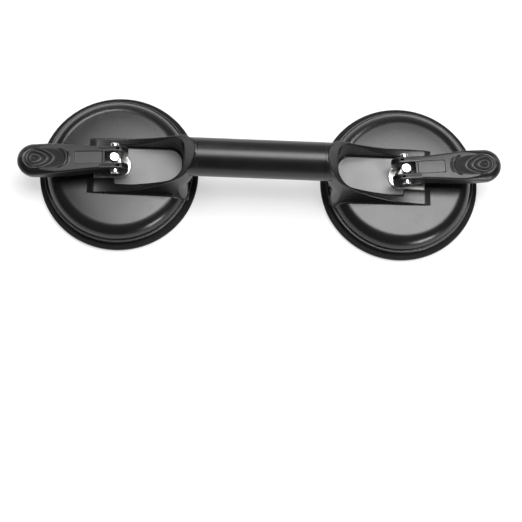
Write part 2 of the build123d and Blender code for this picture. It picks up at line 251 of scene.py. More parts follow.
class LifterSettings(bpy.types.PropertyGroup):
    """Roundings, relief and colours that a user would change."""

    crest_rounding: FloatProperty(
        name="Crest rounding", description="Rounding of the cheeks' upper edges",
        default=0.9 * MM, min=0.1 * MM, max=3 * MM, precision=5, unit="LENGTH",
    )
    foot_fillet: FloatProperty(
        name="Foot fillet", description="Fillet where the cheeks run in to the dish",
        default=1.3 * MM, min=0.1 * MM, max=4 * MM, precision=5, unit="LENGTH",
    )
    crown: FloatProperty(
        name="Crown", description="How far the dish's top falls towards its shoulder",
        default=0.6 * MM, min=0.0, max=2 * MM, precision=5, unit="LENGTH",
    )
    lip_rib_pitch: FloatProperty(
        name="Lip rib pitch", description="Distance between the fine rings on the pad's lip",
        default=1.1 * MM, min=0.5 * MM, max=3 * MM, precision=5, unit="LENGTH",
    )
    grip_pitch: FloatProperty(
        name="Grip pitch", description="Distance between the ridges of the lever's thumb dish",
        default=2.8 * MM, min=1 * MM, max=4 * MM, precision=5, unit="LENGTH",
    )
    grip_height: FloatProperty(
        name="Grip height", description="Height of the ridges of the lever's thumb dish",
        default=0.5 * MM, min=0.0, max=1 * MM, precision=5, unit="LENGTH",
    )
    turns: IntProperty(
        name="Steps round", description="Steps round a turned surface",
        default=192, min=32, max=512,
    )
    paint_colour: FloatVectorProperty(
        name="Head paint", description="Stoved paint of the cast heads",
        default=linear("#141415")[:3], min=0.0, max=1.0, subtype="COLOR",
    )
    lever_colour: FloatVectorProperty(
        name="Lever paint", description="Satin paint of the levers",
        default=linear("#141415")[:3], min=0.0, max=1.0, subtype="COLOR",
    )


def settings():
    """The lifter's settings of the open scene."""
    return bpy.context.scene.lifter


def node(owner, kind, inputs=(), **values):
    """Adds a node to a material, world or light. Values are its properties, or sockets by their
    names with _ for a space. Inputs are (socket, value) pairs for sockets known by a number or
    a clashing name, and for links, where the value is the output of another node."""
    made = owner.node_tree.nodes.new(kind)
    for key, value in values.items():
        if hasattr(made, key):
            setattr(made, key, value)
        else:
            made.inputs[key.replace("_", " ")].default_value = value
    for key, value in inputs:
        if isinstance(value, bpy.types.NodeSocket):
            owner.node_tree.links.new(value, made.inputs[key])
        else:
            made.inputs[key].default_value = value
    return made


def new_material(name, **values):
    """A material with one Principled shader whose own sockets hold the constants."""
    made = bpy.data.materials.new(name)
    made.use_nodes = True
    shader = made.node_tree.nodes["Principled BSDF"]
    for key, value in values.items():
        shader.inputs[key.replace("_", " ")].default_value = value
    return made, shader


def mottle(owner, size_mm, detail, roughness):
    """Uneven pattern with spots of that size, the same from every side: noise on the object's
    own coordinates."""
    where = node(owner, "ShaderNodeTexCoord").outputs["Object"]
    noise = node(
        owner, "ShaderNodeTexNoise", [("Vector", where)],
        Scale=1 / (size_mm * MM), Detail=detail, Roughness=roughness,
    )
    return noise.outputs["Fac"]


def haze(owner, low, high, size_mm):
    """Roughness between two values in spots of that size, as handling leaves it."""
    ramp = node(
        owner, "ShaderNodeMapRange", [("Value", mottle(owner, size_mm, 5.0, 0.6))],
        From_Min=0.3, From_Max=0.7, To_Min=low, To_Max=high,
    )
    return ramp.outputs["Result"]


def finish(name, colour, contrast, tint_mm, rough, grain=None, **values):
    """A finish with soft mottling of its colour towards a lighter one, with the lowest and
    highest roughness and the size of its spots, and with the size, depth and strength of its
    fine relief. All sizes are in millimetres."""
    made, shader = new_material(name, **values)
    lighter = (*(min(1.0, part * contrast) for part in colour[:3]), 1.0)
    tint = node(
        made, "ShaderNodeMix",
        [("Factor", mottle(made, tint_mm, 4.0, 0.55)), ("A", colour), ("B", lighter)],
        data_type="RGBA",
    )
    made.node_tree.links.new(tint.outputs["Result"], shader.inputs["Base Color"])
    made.node_tree.links.new(haze(made, *rough), shader.inputs["Roughness"])
    if grain:
        relief(made, shader, *grain)
    return made


def relief(made, shader, size_mm, depth_mm, strength):
    """Fine uneven relief: a pattern of that size raised by that depth, through a Bump node."""
    bump = node(
        made, "ShaderNodeBump", [("Height", mottle(made, size_mm, 2.0, 0.5))],
        Strength=strength, Distance=depth_mm * MM,
    )
    made.node_tree.links.new(bump.outputs["Normal"], shader.inputs["Normal"])


def stoved_paint():
    """Stoved paint on sand-blasted cast aluminium: deep black with soft-edged reflections,
    and the slight orange peel that a sprayed coat keeps."""
    return finish(
        "stoved_paint_on_casting", (*settings().paint_colour, 1.0), 1.5, 14,
        (0.24, 0.28, 9), (2.2, 0.003, 0.4), IOR=1.5,
    )


def pocket_paint():
    """Paint on the pocket's floor: a lighter grey than outside, and flatter."""
    return finish(
        "lighter_satin_paint_in_pocket", linear("#767677"), 1.15, 18,
        (0.32, 0.45, 9), (1.4, 0.01, 0.6), IOR=1.5,
    )


def tube_coat():
    """Semi-gloss powder coat on a drawn steel tube: black, with a broad soft highlight."""
    return finish(
        "semi_gloss_powder_coat_on_tube", linear("#0d0d0d"), 1.5, 25,
        (0.3, 0.36, 12), (0.9, 0.006, 0.7), IOR=1.5,
    )


def lever_paint():
    """Satin paint on a zinc die casting: dark grey with a fine grain from the die. In the
    thumb dish, which the mesh marks 1, the blasted die left it matt, and its colour is darker
    there: painted shade in the bowl and between its ridges. On its ridges the thumb has rubbed
    it smooth, and there the colour is the plain paint. The panel, which it marks -1, is a shade
    lighter."""
    made, shader = new_material("satin_paint_on_die_casting", IOR=1.5, Specular_IOR_Level=0.45)
    dish = node(made, "ShaderNodeAttribute", attribute_name="mark").outputs["Fac"]
    panel = node(made, "ShaderNodeMath", [(0, dish), (1, -1.0)], operation="MULTIPLY")
    paint = (*settings().lever_colour, 1.0)
    plain = node(
        made, "ShaderNodeMix",
        [("Factor", panel.outputs[0]), ("A", paint), ("B", linear("#303031"))],
        data_type="RGBA",
    )
    # Darker colour in the thumb dish and between its ridges: painted shade
    colour = node(
        made, "ShaderNodeMix",
        [("Factor", dish), ("A", plain.outputs["Result"]), ("B", linear("#090909"))],
        data_type="RGBA",
    )
    smooth, matt = haze(made, 0.32, 0.37, 7), haze(made, 0.66, 0.74, 7)
    rough = node(made, "ShaderNodeMix", [("Factor", dish), ("A", smooth), ("B", matt)])
    made.node_tree.links.new(rough.outputs["Result"], shader.inputs["Roughness"])
    made.node_tree.links.new(colour.outputs["Result"], shader.inputs["Base Color"])
    relief(made, shader, 0.6, 0.006, 0.7)
    return made


def moulded_rubber():
    """Moulded natural rubber: nearly black, matt, with a faint bloom."""
    return finish(
        "moulded_natural_rubber", linear("#0b0b0b"), 1.8, 11,
        (0.55, 0.7, 8), (0.7, 0.02, 0.6), IOR=1.52, Specular_IOR_Level=0.25,
    )


def bright_chrome():
    """Chrome over nickel on turned steel: bright, with the mirror a little softened by the
    turning marks left under the plating."""
    return finish(
        "chrome_on_turned_steel", linear("#dcdcde"), 1.1, 6,
        (0.14, 0.22, 5), (1.2, 0.002, 0.4), Metallic=1.0,
    )


def ground_plate():
    """Hardened steel plate, ground and nickel plated: bright with a soft satin spread."""
    return finish(
        "nickel_on_ground_steel", linear("#e2e1de"), 1.06, 4,
        (0.3, 0.38, 3), (0.8, 0.003, 0.4), Metallic=1.0,
    )


def zinc_plate():
    """Passivated zinc on turned or pressed steel: pale grey metal, slightly cloudy."""
    return finish(
        "zinc_plated_steel", linear("#a9a9a4"), 1.2, 4,
        (0.28, 0.42, 3), (0.5, 0.006, 0.6), Metallic=1.0,
    )


def spring_wire():
    """Oil-tempered spring wire: dark blue-grey metal with drawn lines too fine to show."""
    return finish(
        "oil_tempered_spring_wire", linear("#5f6266"), 1.3, 2, (0.3, 0.42, 2), Metallic=1.0,
    )


def acetal():
    """Moulded acetal: milky off-white, waxy and smooth."""
    return finish(
        "moulded_acetal", linear("#dcd8c8"), 1.05, 5, (0.35, 0.45, 4), IOR=1.48,
    )


MADE = {}


def material(maker):
    """The material of that maker, made the first time that it is asked for."""
    if maker not in MADE:
        MADE[maker] = maker()
    return MADE[maker]


def grid_faces(rows, columns, close_rows, close_columns, first):
    """Quads of a grid of points, row by row, joined end to end where a direction closes."""
    row, column = np.meshgrid(
        np.arange(rows if close_rows else rows - 1),
        np.arange(columns if close_columns else columns - 1),
        indexing="ij",
    )
    next_row = (row + 1) % rows
    next_column = (column + 1) % columns
    corners = [
        row * columns + column,
        row * columns + next_column,
        next_row * columns + next_column,
        next_row * columns + column,
    ]
    return np.stack(corners, axis=-1).reshape(-1, 4) + first


def new_piece(name, patches, makers, sharp_angle=40.0):
    """One mesh object from patches: grids of points in metres, each with whether its rows and
    its columns close, with the number of its material and, where its colour follows its shape,
    a mark for each point, kept as the attribute "mark". Doubles are merged, open ends are
    filled and all faces are turned outwards."""
    points, faces, slots, marks = [], [], [], []
    first = 0
    for grid, close_rows, close_columns, number, *mark in patches:
        rows, columns = grid.shape[:2]
        quads = grid_faces(rows, columns, close_rows, close_columns, first)
        points.append(grid.reshape(-1, 3))
        faces.append(quads)
        slots.append(np.full(len(quads), number))
        marks.append(mark[0].reshape(-1) if mark else np.zeros(rows * columns))
        first += rows * columns
    mesh = bpy.data.meshes.new(name)
    mesh.from_pydata(np.concatenate(points).tolist(), [], np.concatenate(faces).tolist())
    for maker in makers:
        mesh.materials.append(material(maker))
    mesh.polygons.foreach_set("material_index", np.concatenate(slots).astype(np.int32))
    attribute = mesh.attributes.new("mark", "FLOAT", "POINT")
    attribute.data.foreach_set("value", np.concatenate(marks).astype(np.float32))
    work = bmesh.new()
    work.from_mesh(mesh)
    bmesh.ops.remove_doubles(work, verts=work.verts, dist=MERGE_MM * MM)
    bmesh.ops.dissolve_degenerate(work, edges=work.edges, dist=SLIVER_MM * MM)
    bmesh.ops.holes_fill(work, edges=[e for e in work.edges if e.is_boundary], sides=0)
    bmesh.ops.recalc_face_normals(work, faces=work.faces)
    work.to_mesh(mesh)
    work.free()
    mesh.shade_smooth()
    mesh.set_sharp_from_angle(angle=math.radians(sharp_angle))
    piece = bpy.data.objects.new(name, mesh)
    bpy.context.scene.collection.objects.link(piece)
    return piece


def joined(*parts):
    """Points from their coordinates, which are arrays that stretch to a common shape."""
    return np.stack(np.broadcast_arrays(*parts), axis=-1)


def place(points, side, yaw=0.0):
    """Points of a head in millimetres, turned about the cup's axis, moved to their cup and
    turned half round on the right, in metres."""
    turn = yaw + (math.pi if side == "right" else 0.0)
    x, y, z = points[..., 0], points[..., 1], points[..., 2]
    centre = CUP_X if side == "right" else -CUP_X
    return MM * joined(
        x * math.cos(turn) - y * math.sin(turn) + centre,
        x * math.sin(turn) + y * math.cos(turn),
        z,
    )


def yaw_of(side):
    """Angle by which the stud, pin and lever of a side are turned about the cup's axis."""
    axis = lever_joint(side)["axis"]
    facing = 1 if side == "left" else -1
    return math.atan2(-facing * axis[0], facing * axis[1])


def rounded_path(corners, steps=8):
    """Points along a closed polygon of corners, each given by its two coordinates and its
    radius: an arc runs between the points where that circle touches the two sides."""
    radii = [corner[2] for corner in corners]
    corners = np.array([corner[:2] for corner in corners], float)
    runs = []
    for i, radius in enumerate(radii):
        here = corners[i]
        if radius <= 0:
            runs.append(here[None])
            continue
        back = corners[i - 1] - here
        ahead = corners[(i + 1) % len(corners)] - here
        back /= np.linalg.norm(back)
        ahead /= np.linalg.norm(ahead)
        half = 0.5 * math.acos(np.clip(back @ ahead, -1, 1))
        middle = (back + ahead) / np.linalg.norm(back + ahead)
        centre = here + middle * radius / math.sin(half)
        start = here + back * radius / math.tan(half) - centre
        end = here + ahead * radius / math.tan(half) - centre
        sweep = math.pi - 2 * half
        t = np.linspace(0, 1, steps + 1)[:, None]
        arc = np.sin((1 - t) * sweep) * start + np.sin(t * sweep) * end
        runs.append(centre + arc / math.sin(sweep))
    return np.concatenate(runs)


def finer(path, longest):
    """A closed path with points added so that no run is longer than that."""
    ahead = np.roll(path, -1, axis=0)
    gaps = np.linalg.norm(ahead - path, axis=1)
    counts = np.maximum(1, np.ceil(gaps / longest)).astype(int)
    return np.concatenate([
        a + (b - a) * np.linspace(0, 1, n, endpoint=False)[:, None]
        for a, b, n in zip(path, ahead, counts)
    ])


def lathe(profile, steps):
    """A closed profile of radius and height turned about the vertical axis: x = r cos a,
    y = r sin a."""
    angle = np.linspace(0, 2 * math.pi, steps, endpoint=False)[:, None]
    radius, height = profile[:, 0][None], profile[:, 1][None]
    return joined(radius * np.cos(angle), radius * np.sin(angle), height)


def dish_profile():
    """Section of the dish from the bush's bore out over the top, round the shoulder, the
    flange and its bead, and back under the roof. The top's crown falls with the fifth power
    of the radius, and lies a little below the wear plate."""
    roof = DISH_TOP - DISH_WALL
    boss = roof - RIB_DEPTH
    gutter = FLANGE_TOP - 0.2
    bead = 0.97 * BEAD_RADIUS
    bead_top = FLANGE_TOP + BEAD_RADIUS
    bead_inside = DISH_RADIUS - 2 * BEAD_RADIUS
    corners = [
        (BUSH_RADIUS, DISH_TOP, 0.3),
        (FLANK_RADIUS, DISH_TOP, SHOULDER_ROUNDING),
        (FLANK_RADIUS, gutter, 0.2),
        (bead_inside, gutter, 0.1),
        (bead_inside, bead_top, bead),
        (DISH_RADIUS, bead_top, bead),
        (DISH_RADIUS, LIP_THICKNESS, RIM_ROUNDING),
        (DISH_RADIUS - FLANGE_WIDTH_BELOW, LIP_THICKNESS, 0.4),
        (HOLLOW_RADIUS, roof, 3),
        (BOSS_RADIUS, roof, 1),
        (BOSS_RADIUS, boss, 0.5),
        (BUSH_FLANGE_RADIUS, boss, 0.5),
        (BUSH_FLANGE_RADIUS, roof, 0.4),
        (BUSH_RADIUS, roof, 0.3),
    ]
    path = finer(rounded_path(corners, 16), 3.0)
    radius, height = path[:, 0], path[:, 1]
    share = np.minimum(radius / (FLANK_RADIUS - SHOULDER_ROUNDING), 1.0)
    fall = settings().crown / MM * share ** 5 + PLATE_CLEARANCE
    outside = (np.arange(len(path)) < np.argmax(radius)) & (height > bead_top)
    lower = np.clip((height - FLANGE_TOP) / (DISH_TOP - FLANGE_TOP), 0, 1)
    return joined(radius, height - np.where(outside, fall * lower, 0.0))


def dish_height(radius):
    """Height of the dish's outer surface at that distance from the cup's axis."""
    path = dish_profile()
    outer = path[: int(np.argmax(path[:, 0])) + 1]
    keep = np.concatenate([[True], np.diff(np.maximum.accumulate(outer[:, 0])) > 1e-6])
    return np.interp(radius, outer[keep, 0], outer[keep, 1])


def crest_height(x):
    """Height of the cheeks' crest: an arc tangent to the flat land at the cheeks' end, which
    reaches its full height at the collar's end; before the land it falls in a short ramp."""
    land = -CHEEK_END + CHEEK_RAMP
    start = DISH_TOP + CHEEK_END_RISE
    run = COLLAR_END - land
    rise = TUBE_HEIGHT + COLLAR_RADIUS - COLLAR_DROP - start
    radius = (run * run + rise * rise) / (2 * rise)
    along = np.clip(x - land, 0, run)
    ramp = np.minimum(x - land, 0) * (CHEEK_END_RISE + CHEEK_END_SINK) / CHEEK_RAMP
    return start + radius - np.sqrt(radius ** 2 - along ** 2) + ramp


def flank_half_width(z):
    """Half width of the cheeks at a height: the circle of the collar round the tube's axis
    above, and below it the line that touches the circle and ends at the foot."""
    rise = TUBE_HEIGHT - DISH_TOP
    reach = math.hypot(CHEEK_HALF_WIDTH, rise)
    lean = math.atan2(rise, -CHEEK_HALF_WIDTH) - math.asin(COLLAR_RADIUS / reach)
    length = math.sqrt(reach ** 2 - COLLAR_RADIUS ** 2)
    touch = DISH_TOP + length * math.sin(lean)
    line = CHEEK_HALF_WIDTH + (z - DISH_TOP) * math.cos(lean) / math.sin(lean)
    circle = np.sqrt(np.maximum(COLLAR_RADIUS ** 2 - (z - TUBE_HEIGHT) ** 2, 0.01))
    return np.where(z < touch, line, circle)


def rounded_end(angle, half_width, length, corner):
    """Distance from the fan's centre to a rectangle with round corners, along a ray that
    starts sideways at angle 0 and points to the tube at a quarter turn."""
    along, across = np.sin(angle), np.cos(angle)
    corner = np.minimum(corner, np.minimum(0.98 * half_width, 0.98 * length))
    centre_x, centre_y = length - corner, half_width - corner
    dot = along * centre_x + across * centre_y
    inside = np.maximum(corner ** 2 - centre_x ** 2 - centre_y ** 2 + dot ** 2, 0)
    arc = dot + np.sqrt(inside)
    side = half_width / np.maximum(across, 1e-6)
    end = length / np.maximum(along, 1e-6)
    return np.where(side * along < centre_x, side, np.where(end * across < centre_y, end, arc))


def smooth_step(low, high, value):
    """Smooth ramp from 0 at low to 1 at high."""
    t = np.clip((value - low) / (high - low), 0, 1)
    return t * t * (3 - 2 * t)


def solve(function, low, high):
    """Zero of a falling function for whole arrays, by halving the span forty times."""
    for _ in range(40):
        middle = (low + high) / 2
        above = function(middle) > 0
        low = np.where(above, middle, low)
        high = np.where(above, high, middle)
    return (low + high) / 2


def corner_curve(before, corner, after):
    """Rounds a corner with a parabola from the point before it to the point after it."""
    t = np.linspace(0, 1, 7)[:, None, None]
    return list((1 - t) ** 2 * before + 2 * t * (1 - t) * corner + t ** 2 * after)


def even_steps(start, end, count):
    """Values at even steps from one to another, both included."""
    return [start + (end - start) * t for t in np.linspace(0, 1, count)]


def fork_stations():
    """Stations round the U of the cheeks, on one side: origin on the centre line, direction,
    the pocket's half width, and how far it has widened from the slot. Along the cheeks the
    rays point sideways, and round the pocket's end they fan out to the tube."""
    step = -POCKET_START
    before, after = step - STEP_FINE, step + STEP_FINE
    straight = np.unique(np.concatenate([
        np.linspace(-CHEEK_END - 0.3, before, 28),
        np.linspace(before, after, 13),
        np.linspace(after, FAN_X, 44),
    ]))
    fan = np.linspace(0, math.pi / 2, 49)[1:]
    origin = np.concatenate([straight, np.full(len(fan), FAN_X)])
    angle = np.concatenate([np.zeros(len(straight)), fan])
    widen = smooth_step(step - STEP_EASE, step + STEP_EASE, origin)
    pocket = SLOT_HALF_WIDTH + (POCKET_HALF_WIDTH - SLOT_HALF_WIDTH) * widen
    return origin, angle, pocket, widen


def fork_half():
    """The cheek wall on one side as a grid, stations by profile points. At each station the
    profile runs over the pocket's floor, up the drafted inner wall, over the crest with both
    edges rounded, down the flank and out on the dish through a fillet, then back below."""
    origin, angle, pocket, widen = fork_stations()
    along, across = np.sin(angle), np.cos(angle)
    rounding = settings().crest_rounding / MM
    fillet = settings().foot_fillet / MM

    def inner(z):
        base = rounded_end(angle, pocket, POCKET_CORNER, POCKET_CORNER)
        return base + widen * POCKET_DRAFT * (z - DISH_TOP)

    def outer(z):
        grow = smooth_step(WEB_TOP, COLLAR_FOOT, z)
        length = (WEB_END - FAN_X) + (COLLAR_END - WEB_END) * grow
        corner = WEB_CORNER + (COLLAR_CORNER - WEB_CORNER) * grow
        return rounded_end(angle, flank_half_width(z), length, corner)

    def point(distance, z):
        return joined(origin + distance * along, distance * across, z)

    def crest_over(distance):
        return crest_height(origin + distance * along)

    def dish_under(distance):
        return dish_height(np.hypot(origin + distance * along, distance * across))

    dish = np.full_like(origin, DISH_TOP)
    low, high = dish - 2, TUBE_HEIGHT + COLLAR_RADIUS
    inner_top = solve(lambda z: crest_over(inner(z)) - z, low, high)
    outer_top = solve(lambda z: crest_over(outer(z)) - z, low, high)
    foot = solve(lambda z: dish_under(outer(z)) - z, FLANGE_TOP - 3, dish + 1)

    inner_corner = point(inner(inner_top), inner_top)
    outer_corner = point(outer(outer_top), outer_top)
    thickness = np.linalg.norm(outer_corner - inner_corner, axis=-1)
    height = np.maximum(np.minimum(inner_top, outer_top) - DISH_TOP, 0.02)
    edge = np.minimum(rounding, EDGE_SHARE_OF_WALL * thickness)
    edge = np.minimum(edge, EDGE_SHARE_OF_HEIGHT * height)
    hollow = np.minimum(fillet, 0.5 * height)
    share = (edge / np.maximum(thickness, 1e-6))[:, None]

    floor_end = point(np.maximum(inner(dish) - hollow, 0.3 * inner(dish)), dish)
    floor = even_steps(point(0 * origin, dish), floor_end, 7)[:-1]
    wall_foot = point(inner(dish + hollow), dish + hollow)
    wall_top = point(inner(inner_top - edge), inner_top - edge)
    top_in = inner_corner + (outer_corner - inner_corner) * share
    top_out = outer_corner + (inner_corner - outer_corner) * share
    flank_top = outer_top - edge
    flank_foot = np.minimum(foot + fillet, flank_top - 0.01)
    flank = [point(outer(z), z) for z in even_steps(flank_top, flank_foot, 26)]
    run_out = outer(foot) + np.minimum(fillet, 0.5 * height + 0.3)
    outside = point(run_out, dish_under(run_out) - 0.02)
    rows = [
        *floor,
        *corner_curve(floor_end, point(inner(dish), dish), wall_foot),
        *even_steps(wall_foot, wall_top, 14)[1:-1],
        *corner_curve(wall_top, inner_corner, top_in),
        *even_steps(top_in, top_out, 6)[1:-1],
        *corner_curve(top_out, outer_corner, flank[0]),
        *flank[1:],
        *corner_curve(flank[-1], point(outer(foot), foot), outside)[1:],
        point(run_out - 0.4, dish_under(run_out) - CHEEK_BURIED),
        point(0 * origin, dish - CHEEK_BURIED),
    ]
    return np.stack(rows, axis=1), len(floor)


def neck():
    """Neck and spigot behind the collar: a closed profile turned about the tube's axis, held
    below the cheeks' crest where it starts inside the collar."""
    surface = TUBE_RADIUS - NECK_CLEARANCE
    shoulder, spigot_end = NECK_END - 0.02, NECK_END + SPIGOT_LENGTH
    corners = [
        (SPIGOT_BORE, NECK_START, 0),
        *((surface, x, 0) for x in np.linspace(NECK_START, COLLAR_END, 12)),
        (surface, shoulder, 0.3),
        (SPIGOT_RADIUS, shoulder, 0.3),
        (SPIGOT_RADIUS, spigot_end, 0.6),
        (SPIGOT_BORE, spigot_end, 0.3),
    ]
    turned = lathe(rounded_path(corners, 3), 96)
    x, z = turned[..., 2], turned[..., 1] + TUBE_HEIGHT
    below = np.where(x < COLLAR_END, crest_height(x) - NECK_BELOW_CREST, np.inf)
    return joined(x, turned[..., 0], np.minimum(z, below))


def rib(angle):
    """One radial rib under the roof: a rounded bar carried outwards from the boss."""
    top = DISH_TOP - DISH_WALL + 0.3
    foot = DISH_TOP - DISH_WALL - RIB_DEPTH
    section = rounded_path([
        (-RIB_HALF_WIDTH, top, 0.1),
        (-RIB_HALF_WIDTH, foot, 0.5),
        (RIB_HALF_WIDTH, foot, 0.5),
        (RIB_HALF_WIDTH, top, 0.1),
    ], 3)
    reach = np.linspace(BOSS_RADIUS - RIB_OVERLAP, HOLLOW_RADIUS + RIB_OVERLAP, 3)[:, None]
    across, up = section[:, 0][None], section[:, 1][None]
    return joined(
        reach * math.cos(angle) - across * math.sin(angle),
        reach * math.sin(angle) + across * math.cos(angle),
        up,
    )


def head_casting(side):
    """Cast head: crowned dish with bead and ribs, cheek wall round the pocket, and neck."""
    half, floor_count = fork_half()
    other = half[:-1][::-1] * np.array([1, -1, 1])
    wall = np.concatenate([half, other])
    floor = wall[:, : floor_count + 1]
    slot = int(np.sum(fork_stations()[0] < -POCKET_START))
    patches = [
        (lathe(dish_profile(), settings().turns), True, True, 0),
        (wall[:, floor_count:], False, False, 0),
        (floor[:slot], False, False, 0),
        (floor[slot - 1:1 - slot], False, False, 1),
        (floor[-slot:], False, False, 0),
        (neck(), True, True, 2),
    ]
    for i in range(RIB_COUNT):
        patches.append((rib((i + 0.5) * 2 * math.pi / RIB_COUNT), False, True, 0))
    placed = [(place(grid, side), *rest) for grid, *rest in patches]
    piece = new_piece(f"head_casting_{side}", placed, [stoved_paint, pocket_paint, tube_coat])
    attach(piece, "root")
    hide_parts(f"housing_{side}")


def pad_lip(side):
    """Outer ring of the pad: flat sealing face, rounded edge with a slight waist, and fine
    rings on the ledge, a cosine of the radius."""
    path = finer(rounded_path([
        (LIP_INSIDE, 0.0, 0.4),
        (PAD_RADIUS, 0.0, LIP_ROUNDING),
        (PAD_RADIUS, LIP_THICKNESS, LIP_ROUNDING),
        (LIP_INSIDE, LIP_THICKNESS, 0.4),
    ]), 0.18)
    radius, height = path[:, 0], path[:, 1]
    pitch = settings().lip_rib_pitch / MM
    ledge = smooth_step(*LIP_RINGS[:2], radius) * (height > LIP_THICKNESS / 2)
    ledge = ledge * (1 - smooth_step(*LIP_RINGS[2:], radius))
    groove = 0.5 - 0.5 * np.cos(2 * math.pi * (PAD_RADIUS - radius) / pitch)
    wall = (radius > PAD_RADIUS - 0.05) * smooth_step(LIP_ROUNDING - LIP_EASE, LIP_ROUNDING, height)
    upper = LIP_THICKNESS - LIP_ROUNDING
    wall = wall * (1 - smooth_step(upper, upper + LIP_EASE, height))
    path = joined(radius - LIP_WAIST * wall, height - LIP_GROOVE * ledge * groove)
    grid = lathe(path, settings().turns)
    piece = new_piece(f"pad_lip_{side}", [(place(grid, side), True, True, 0)], [moulded_rubber], 60)
    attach(piece, "root")
    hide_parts(f"suction_pad_{side}")


def pad_skin(side, name, low, high, hole, up):
    """One skin of the pad's arch, of even thickness, which bends between head and plate: a
    smooth step up from the lip's inner edge to the flat middle. The lower skin's bend ends a
    little above it, so that it stays off the floor when let down."""
    radius = np.linspace(LIP_INSIDE, hole, 46)
    face = low + (high - low) * (1 - smooth_step(PAD_MIDDLE_RADIUS, LIP_INSIDE, radius))
    back = face + (SKIN if up else -SKIN)
    loop = np.concatenate([joined(radius, face), joined(radius, back)[::-1]])
    grid = lathe(loop, settings().turns)
    piece = new_piece(f"{name}_{side}", [(place(grid, side), True, True, 0)], [moulded_rubber], 60)
    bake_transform(piece)
    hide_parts(f"suction_pad_{side}")


def cam_point(angle):
    """Point of the cam at a lever angle: the involute that lifts evenly with the turn."""
    reach = CAM_RADIUS - CAM_RATE * angle
    return joined(
        reach * np.sin(angle) - CAM_RATE * np.cos(angle),
        PIN_HEIGHT - reach * np.cos(angle) - CAM_RATE * np.sin(angle),
    )


def lever_top(x):
    """Height of the lever's top along its length: a shallow dip over the shank and a fall
    towards the thumb's tip."""
    out = -x / LEVER_LENGTH
    dip = SHANK_DIP * np.sin(np.clip(out, 0, 1) * math.pi)
    return PIN_HEIGHT + FORK_ABOVE_PIN - dip - THUMB_DROP * np.clip(out, 0, 1) ** 2


def lever_half_width(x):
    """Half width of the lever: straight at the fork, swelling over the shank to the thumb
    end, which closes in a half circle."""
    thumb_x = -LEVER_LENGTH + THUMB_RADIUS
    share = smooth_step(SWELL_START, thumb_x, x)
    swell = FORK_HALF_WIDTH + (THUMB_RADIUS - FORK_HALF_WIDTH) * share
    end = np.sqrt(np.maximum(THUMB_RADIUS ** 2 - np.minimum(x - thumb_x, 0) ** 2, 0))
    return np.where(x < thumb_x, end, swell)


def grip_ridges(x, y):
    """Ridges of the thumb dish from 0 to 1: rings nested round a point near the tip, drawn
    out and narrowed towards the shank like eggs, with arcs round the bowl's inner end."""
    pitch = settings().grip_pitch / MM
    inward = np.maximum(x - RING_X, 0)
    outward = np.minimum(x - RING_X, 0)
    rings = np.hypot(outward + RING_STRETCH * inward, y * (1 + RING_TAPER * inward))
    wave_rings = 0.5 + 0.5 * np.cos(2 * math.pi * rings / pitch)
    near_tip = 1 - smooth_step(LAST_RING[0] * pitch, LAST_RING[1] * pitch, rings)
    arcs = (np.hypot(x - ARC_X, y) - ARC_RADIUS) / (ARC_PITCH_SHARE * pitch)
    wave_arcs = 0.5 + 0.5 * np.cos(2 * math.pi * arcs)
    near_heel = smooth_step(*FIRST_ARC, arcs) * (1 - smooth_step(*LAST_ARC, arcs))
    near_heel = near_heel * smooth_step(*ARC_START, x)
    ridges = np.maximum(wave_rings * near_tip, wave_arcs * near_heel)
    return ridges * (1 - smooth_step(*RIDGE_END, grip_oval(x, y)))


def grip_oval(x, y):
    """Distance from the middle of the thumb dish, 1 on its oval rim."""
    return np.hypot((x - GRIP_MIDDLE) / (GRIP_LENGTH / 2), y / (GRIP_WIDTH / 2))


def grip_relief(x, y):
    """Depth of the thumb dish: an oval bowl with a soft rim, less its ridges."""
    bowl = GRIP_DEPTH * (1 - smooth_step(*GRIP_BOWL, grip_oval(x, y)))
    return bowl - settings().grip_height / MM * grip_ridges(x, y)


def panel_relief(x, y):
    """Depth of the flat panel on the shank: a shallow recess with round corners."""
    dx = np.abs(x - PANEL_MIDDLE) - PANEL_LENGTH / 2 + PANEL_CORNER
    dy = np.abs(y) - PANEL_WIDTH / 2 + PANEL_CORNER
    outside = np.hypot(np.maximum(dx, 0), np.maximum(dy, 0)) + np.minimum(np.maximum(dx, dy), 0)
    rim = smooth_step(PANEL_CORNER - PANEL_EASE, PANEL_CORNER + PANEL_EASE, outside)
    return PANEL_DEPTH * (1 - rim)


